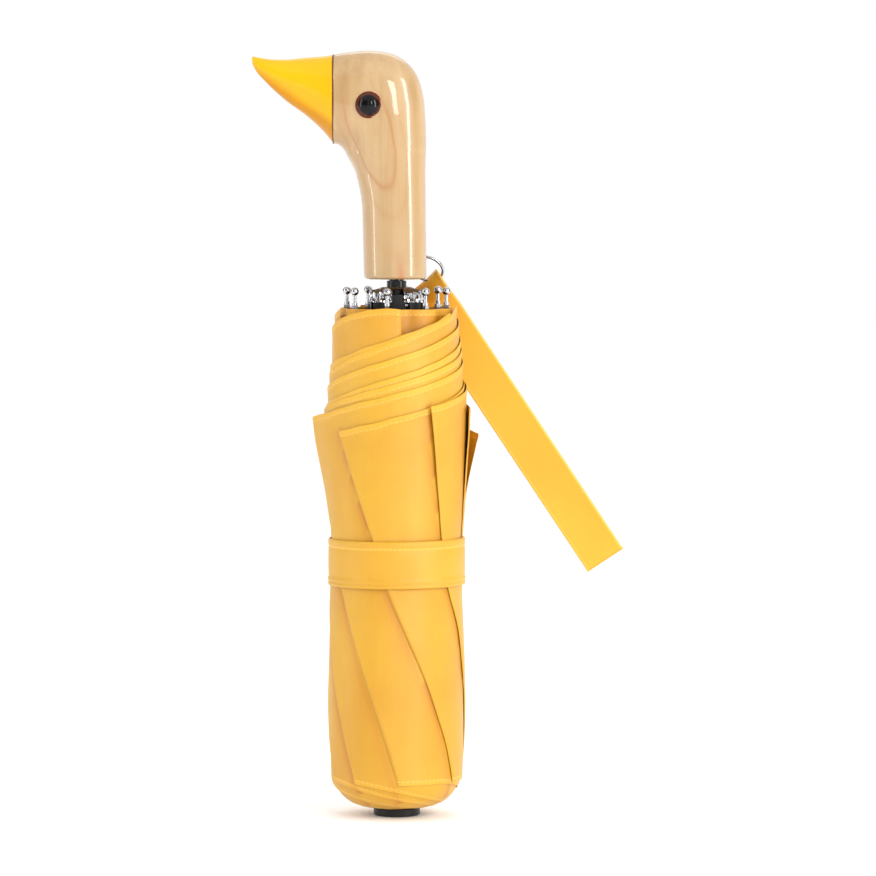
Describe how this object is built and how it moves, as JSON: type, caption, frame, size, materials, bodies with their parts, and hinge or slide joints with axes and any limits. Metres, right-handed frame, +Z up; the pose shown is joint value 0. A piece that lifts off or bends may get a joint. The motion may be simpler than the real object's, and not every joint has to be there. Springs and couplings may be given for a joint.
{
  "type": "folding umbrella",
  "caption": "Manual three-fold pocket umbrella, closed and tied, with a carved duck-head handle and a wrist strap.",
  "frame": {"origin": "centre of the cap's flat foot, on the shaft's axis", "axes": "+Z up the shaft from the cap to the handle; -X the way the beak points; +X the side the strap hangs"},
  "size_m": [0.1605, 0.0652, 0.3271],
  "materials": {
    "black_metal": "gloss black lacquered steel",
    "black_plastic": "black moulded plastic",
    "steel": "bright zinc-plated steel",
    "rib_steel": "plated folded-strip ribs",
    "chrome": "polished chrome plate",
    "maple": "clear-lacquered maple",
    "dowel": "raw birch dowel",
    "beak_yellow": "glossy yellow lacquer",
    "eye": "dark glass eye with a brown rim",
    "canopy_cloth": "water-repellent pongee, diagonal weave",
    "band_cloth": "doubled canopy cloth with stitched edges",
    "ribbon": "flat satin-faced ribbon"
  },
  "bodies": {
    "shaft_top": {"ferrule_cap": "black_plastic", "crown": "black_plastic", "crown_wire": "steel", "outer_tube": "black_metal", "canopy": "canopy_cloth", "closing_band": "band_cloth"},
    "runner_catch": {"runner_catch": "steel"},
    "middle_tube": {"middle_tube": "black_metal"},
    "handle": {"inner_tube": "black_metal", "handle_head": "maple", "beak": "beak_yellow", "beak_dowel": "dowel", "eye_left": "eye", "eye_right": "eye", "handle_pin": "steel", "screw_eye": "chrome"},
    "runner": {"runner": "black_plastic"},
    "strap_ring": {"strap_ring": "chrome"},
    "wrist_strap": {"wrist_strap": "ribbon"},
    "rib_inner_1": {"rib_inner_1": "rib_steel"},
    "stretcher_1": {"stretcher_1": "rib_steel"},
    "rib_middle_1": {"rib_middle_1": "rib_steel"},
    "rib_outer_1": {"rib_outer_1": "rib_steel", "rib_tip_1": "chrome"},
    "rib_inner_2": {"rib_inner_2": "rib_steel"},
    "stretcher_2": {"stretcher_2": "rib_steel"},
    "rib_middle_2": {"rib_middle_2": "rib_steel"},
    "rib_outer_2": {"rib_outer_2": "rib_steel", "rib_tip_2": "chrome"},
    "rib_inner_3": {"rib_inner_3": "rib_steel"},
    "stretcher_3": {"stretcher_3": "rib_steel"},
    "rib_middle_3": {"rib_middle_3": "rib_steel"},
    "rib_outer_3": {"rib_outer_3": "rib_steel", "rib_tip_3": "chrome"},
    "rib_inner_4": {"rib_inner_4": "rib_steel"},
    "stretcher_4": {"stretcher_4": "rib_steel"},
    "rib_middle_4": {"rib_middle_4": "rib_steel"},
    "rib_outer_4": {"rib_outer_4": "rib_steel", "rib_tip_4": "chrome"},
    "rib_inner_5": {"rib_inner_5": "rib_steel"},
    "stretcher_5": {"stretcher_5": "rib_steel"},
    "rib_middle_5": {"rib_middle_5": "rib_steel"},
    "rib_outer_5": {"rib_outer_5": "rib_steel", "rib_tip_5": "chrome"},
    "rib_inner_6": {"rib_inner_6": "rib_steel"},
    "stretcher_6": {"stretcher_6": "rib_steel"},
    "rib_middle_6": {"rib_middle_6": "rib_steel"},
    "rib_outer_6": {"rib_outer_6": "rib_steel", "rib_tip_6": "chrome"},
    "rib_inner_7": {"rib_inner_7": "rib_steel"},
    "stretcher_7": {"stretcher_7": "rib_steel"},
    "rib_middle_7": {"rib_middle_7": "rib_steel"},
    "rib_outer_7": {"rib_outer_7": "rib_steel", "rib_tip_7": "chrome"},
    "rib_inner_8": {"rib_inner_8": "rib_steel"},
    "stretcher_8": {"stretcher_8": "rib_steel"},
    "rib_middle_8": {"rib_middle_8": "rib_steel"},
    "rib_outer_8": {"rib_outer_8": "rib_steel", "rib_tip_8": "chrome"}
  },
  "joints": [
    {"name": "rib_inner_1_fold", "type": "hinge", "parent": "shaft_top", "child": "rib_inner_1", "pos_m": [0.00827, -0.00146, 0.014], "axis": [0.1736, 0.9848, 0], "range_deg": [0, 78], "deforming": ["canopy", "closing_band", "wrist_strap"]},
    {"name": "stretcher_1_fold", "type": "hinge", "parent": "rib_inner_1", "child": "stretcher_1", "pos_m": [0.00827, -0.00146, 0.1165], "axis": [0.1736, 0.9848, 0], "range_deg": [-156.1, 0.1]},
    {"name": "rib_middle_1_fold", "type": "hinge", "parent": "rib_inner_1", "child": "rib_middle_1", "pos_m": [0.01201, -0.00212, 0.186], "axis": [0.1736, 0.9848, 0], "range_deg": [-192.1, 0.1]},
    {"name": "rib_outer_1_fold", "type": "hinge", "parent": "rib_middle_1", "child": "rib_outer_1", "pos_m": [0.01576, -0.00278, 0.021], "axis": [0.1736, 0.9848, 0], "range_deg": [-0.1, 164.48]},
    {"name": "rib_inner_2_fold", "type": "hinge", "parent": "shaft_top", "child": "rib_inner_2", "pos_m": [0.00688, 0.00482, 0.014], "axis": [-0.5736, 0.8192, 0], "range_deg": [-0.1, 78.1]},
    {"name": "stretcher_2_fold", "type": "hinge", "parent": "rib_inner_2", "child": "stretcher_2", "pos_m": [0.00688, 0.00482, 0.1165], "axis": [-0.5736, 0.8192, 0], "range_deg": [-156.1, 0.1]},
    {"name": "rib_middle_2_fold", "type": "hinge", "parent": "rib_inner_2", "child": "rib_middle_2", "pos_m": [0.00999, 0.007, 0.186], "axis": [-0.5736, 0.8192, 0], "range_deg": [-192.1, 0.1]},
    {"name": "rib_outer_2_fold", "type": "hinge", "parent": "rib_middle_2", "child": "rib_outer_2", "pos_m": [0.01311, 0.00918, 0.021], "axis": [-0.5736, 0.8192, 0], "range_deg": [-0.1, 164.48]},
    {"name": "rib_inner_3_fold", "type": "hinge", "parent": "shaft_top", "child": "rib_inner_3", "pos_m": [0.00146, 0.00827, 0.014], "axis": [-0.9848, 0.1736, 0], "range_deg": [-0.1, 78.1]},
    {"name": "stretcher_3_fold", "type": "hinge", "parent": "rib_inner_3", "child": "stretcher_3", "pos_m": [0.00146, 0.00827, 0.1165], "axis": [-0.9848, 0.1736, 0], "range_deg": [-156.1, 0.1]},
    {"name": "rib_middle_3_fold", "type": "hinge", "parent": "rib_inner_3", "child": "rib_middle_3", "pos_m": [0.00212, 0.01201, 0.186], "axis": [-0.9848, 0.1736, 0], "range_deg": [-192.1, 0.1]},
    {"name": "rib_outer_3_fold", "type": "hinge", "parent": "rib_middle_3", "child": "rib_outer_3", "pos_m": [0.00278, 0.01576, 0.021], "axis": [-0.9848, 0.1736, 0], "range_deg": [-0.1, 164.48]},
    {"name": "rib_inner_4_fold", "type": "hinge", "parent": "shaft_top", "child": "rib_inner_4", "pos_m": [-0.00482, 0.00688, 0.014], "axis": [-0.8192, -0.5736, 0], "range_deg": [-0.1, 78.1]},
    {"name": "stretcher_4_fold", "type": "hinge", "parent": "rib_inner_4", "child": "stretcher_4", "pos_m": [-0.00482, 0.00688, 0.1165], "axis": [-0.8192, -0.5736, 0], "range_deg": [-156.1, 0.1]},
    {"name": "rib_middle_4_fold", "type": "hinge", "parent": "rib_inner_4", "child": "rib_middle_4", "pos_m": [-0.007, 0.00999, 0.186], "axis": [-0.8192, -0.5736, 0], "range_deg": [-192.1, 0.1]},
    {"name": "rib_outer_4_fold", "type": "hinge", "parent": "rib_middle_4", "child": "rib_outer_4", "pos_m": [-0.00918, 0.01311, 0.021], "axis": [-0.8192, -0.5736, 0], "range_deg": [-0.1, 164.48]},
    {"name": "rib_inner_5_fold", "type": "hinge", "parent": "shaft_top", "child": "rib_inner_5", "pos_m": [-0.00827, 0.00146, 0.014], "axis": [-0.1736, -0.9848, 0], "range_deg": [-0.1, 78.1]},
    {"name": "stretcher_5_fold", "type": "hinge", "parent": "rib_inner_5", "child": "stretcher_5", "pos_m": [-0.00827, 0.00146, 0.1165], "axis": [-0.1736, -0.9848, 0], "range_deg": [-156.1, 0.1]},
    {"name": "rib_middle_5_fold", "type": "hinge", "parent": "rib_inner_5", "child": "rib_middle_5", "pos_m": [-0.01201, 0.00212, 0.186], "axis": [-0.1736, -0.9848, 0], "range_deg": [-192.1, 0.1]},
    {"name": "rib_outer_5_fold", "type": "hinge", "parent": "rib_middle_5", "child": "rib_outer_5", "pos_m": [-0.01576, 0.00278, 0.021], "axis": [-0.1736, -0.9848, 0], "range_deg": [-0.1, 164.48]},
    {"name": "rib_inner_6_fold", "type": "hinge", "parent": "shaft_top", "child": "rib_inner_6", "pos_m": [-0.00688, -0.00482, 0.014], "axis": [0.5736, -0.8192, 0], "range_deg": [-0.1, 78.1]},
    {"name": "stretcher_6_fold", "type": "hinge", "parent": "rib_inner_6", "child": "stretcher_6", "pos_m": [-0.00688, -0.00482, 0.1165], "axis": [0.5736, -0.8192, 0], "range_deg": [-156.1, 0.1]},
    {"name": "rib_middle_6_fold", "type": "hinge", "parent": "rib_inner_6", "child": "rib_middle_6", "pos_m": [-0.00999, -0.007, 0.186], "axis": [0.5736, -0.8192, 0], "range_deg": [-192.1, 0.1]},
    {"name": "rib_outer_6_fold", "type": "hinge", "parent": "rib_middle_6", "child": "rib_outer_6", "pos_m": [-0.01311, -0.00918, 0.021], "axis": [0.5736, -0.8192, 0], "range_deg": [-0.1, 164.48]},
    {"name": "rib_inner_7_fold", "type": "hinge", "parent": "shaft_top", "child": "rib_inner_7", "pos_m": [-0.00146, -0.00827, 0.014], "axis": [0.9848, -0.1736, 0], "range_deg": [-0.1, 78.1]},
    {"name": "stretcher_7_fold", "type": "hinge", "parent": "rib_inner_7", "child": "stretcher_7", "pos_m": [-0.00146, -0.00827, 0.1165], "axis": [0.9848, -0.1736, 0], "range_deg": [-156.1, 0.1]},
    {"name": "rib_middle_7_fold", "type": "hinge", "parent": "rib_inner_7", "child": "rib_middle_7", "pos_m": [-0.00212, -0.01201, 0.186], "axis": [0.9848, -0.1736, 0], "range_deg": [-192.1, 0.1]},
    {"name": "rib_outer_7_fold", "type": "hinge", "parent": "rib_middle_7", "child": "rib_outer_7", "pos_m": [-0.00278, -0.01576, 0.021], "axis": [0.9848, -0.1736, 0], "range_deg": [-0.1, 164.48]},
    {"name": "rib_inner_8_fold", "type": "hinge", "parent": "shaft_top", "child": "rib_inner_8", "pos_m": [0.00482, -0.00688, 0.014], "axis": [0.8192, 0.5736, 0], "range_deg": [-0.1, 78.1]},
    {"name": "stretcher_8_fold", "type": "hinge", "parent": "rib_inner_8", "child": "stretcher_8", "pos_m": [0.00482, -0.00688, 0.1165], "axis": [0.8192, 0.5736, 0], "range_deg": [-156.1, 0.1]},
    {"name": "rib_middle_8_fold", "type": "hinge", "parent": "rib_inner_8", "child": "rib_middle_8", "pos_m": [0.007, -0.00999, 0.186], "axis": [0.8192, 0.5736, 0], "range_deg": [-192.1, 0.1]},
    {"name": "rib_outer_8_fold", "type": "hinge", "parent": "rib_middle_8", "child": "rib_outer_8", "pos_m": [0.00918, -0.01311, 0.021], "axis": [0.8192, 0.5736, 0], "range_deg": [-0.1, 164.48]},
    {"name": "runner_slide", "type": "slide", "parent": "shaft_top", "child": "runner", "axis": [0, 0, -1], "range_m": [-0.0002, 0.16258]},
    {"name": "middle_tube_slide", "type": "slide", "parent": "shaft_top", "child": "middle_tube", "axis": [0, 0, 1], "range_m": [0, 0.105]},
    {"name": "handle_slide", "type": "slide", "parent": "middle_tube", "child": "handle", "axis": [0, 0, 1], "range_m": [0, 0.105]},
    {"name": "catch_press", "type": "slide", "parent": "shaft_top", "child": "runner_catch", "axis": [-0.8434, 0.5373, 0], "range_m": [0, 0.001], "stiffness_N_per_m": 200},
    {"name": "ring_swing", "type": "hinge", "parent": "handle", "child": "strap_ring", "pos_m": [0.0109, 0.0138, 0.2392], "axis": [0.9292, -0.3597, 0.0848], "range_deg": [0, 60]},
    {"name": "strap_swing", "type": "hinge", "parent": "strap_ring", "child": "wrist_strap", "pos_m": [0.01879, 0.0196, 0.23041], "axis": [0.519, -0.6611, 0.5418], "range_deg": [0, 40]}
  ],
  "couplings": [
    {"joint": "stretcher_1_fold", "follows": "rib_inner_1_fold", "ratio": -2},
    {"joint": "rib_middle_1_fold", "follows": "rib_inner_1_fold", "ratio": -2.4615},
    {"joint": "rib_outer_1_fold", "follows": "rib_inner_1_fold", "ratio": 2.1074},
    {"joint": "rib_inner_2_fold", "follows": "rib_inner_1_fold", "ratio": 1},
    {"joint": "stretcher_2_fold", "follows": "rib_inner_1_fold", "ratio": -2},
    {"joint": "rib_middle_2_fold", "follows": "rib_inner_1_fold", "ratio": -2.4615},
    {"joint": "rib_outer_2_fold", "follows": "rib_inner_1_fold", "ratio": 2.1074},
    {"joint": "rib_inner_3_fold", "follows": "rib_inner_1_fold", "ratio": 1},
    {"joint": "stretcher_3_fold", "follows": "rib_inner_1_fold", "ratio": -2},
    {"joint": "rib_middle_3_fold", "follows": "rib_inner_1_fold", "ratio": -2.4615},
    {"joint": "rib_outer_3_fold", "follows": "rib_inner_1_fold", "ratio": 2.1074},
    {"joint": "rib_inner_4_fold", "follows": "rib_inner_1_fold", "ratio": 1},
    {"joint": "stretcher_4_fold", "follows": "rib_inner_1_fold", "ratio": -2},
    {"joint": "rib_middle_4_fold", "follows": "rib_inner_1_fold", "ratio": -2.4615},
    {"joint": "rib_outer_4_fold", "follows": "rib_inner_1_fold", "ratio": 2.1074},
    {"joint": "rib_inner_5_fold", "follows": "rib_inner_1_fold", "ratio": 1},
    {"joint": "stretcher_5_fold", "follows": "rib_inner_1_fold", "ratio": -2},
    {"joint": "rib_middle_5_fold", "follows": "rib_inner_1_fold", "ratio": -2.4615},
    {"joint": "rib_outer_5_fold", "follows": "rib_inner_1_fold", "ratio": 2.1074},
    {"joint": "rib_inner_6_fold", "follows": "rib_inner_1_fold", "ratio": 1},
    {"joint": "stretcher_6_fold", "follows": "rib_inner_1_fold", "ratio": -2},
    {"joint": "rib_middle_6_fold", "follows": "rib_inner_1_fold", "ratio": -2.4615},
    {"joint": "rib_outer_6_fold", "follows": "rib_inner_1_fold", "ratio": 2.1074},
    {"joint": "rib_inner_7_fold", "follows": "rib_inner_1_fold", "ratio": 1},
    {"joint": "stretcher_7_fold", "follows": "rib_inner_1_fold", "ratio": -2},
    {"joint": "rib_middle_7_fold", "follows": "rib_inner_1_fold", "ratio": -2.4615},
    {"joint": "rib_outer_7_fold", "follows": "rib_inner_1_fold", "ratio": 2.1074},
    {"joint": "rib_inner_8_fold", "follows": "rib_inner_1_fold", "ratio": 1},
    {"joint": "stretcher_8_fold", "follows": "rib_inner_1_fold", "ratio": -2},
    {"joint": "rib_middle_8_fold", "follows": "rib_inner_1_fold", "ratio": -2.4615},
    {"joint": "rib_outer_8_fold", "follows": "rib_inner_1_fold", "ratio": 2.1074},
    {"joint": "runner_slide", "follows": "rib_inner_1_fold", "m_per_rad": 0.11928}
  ]
}
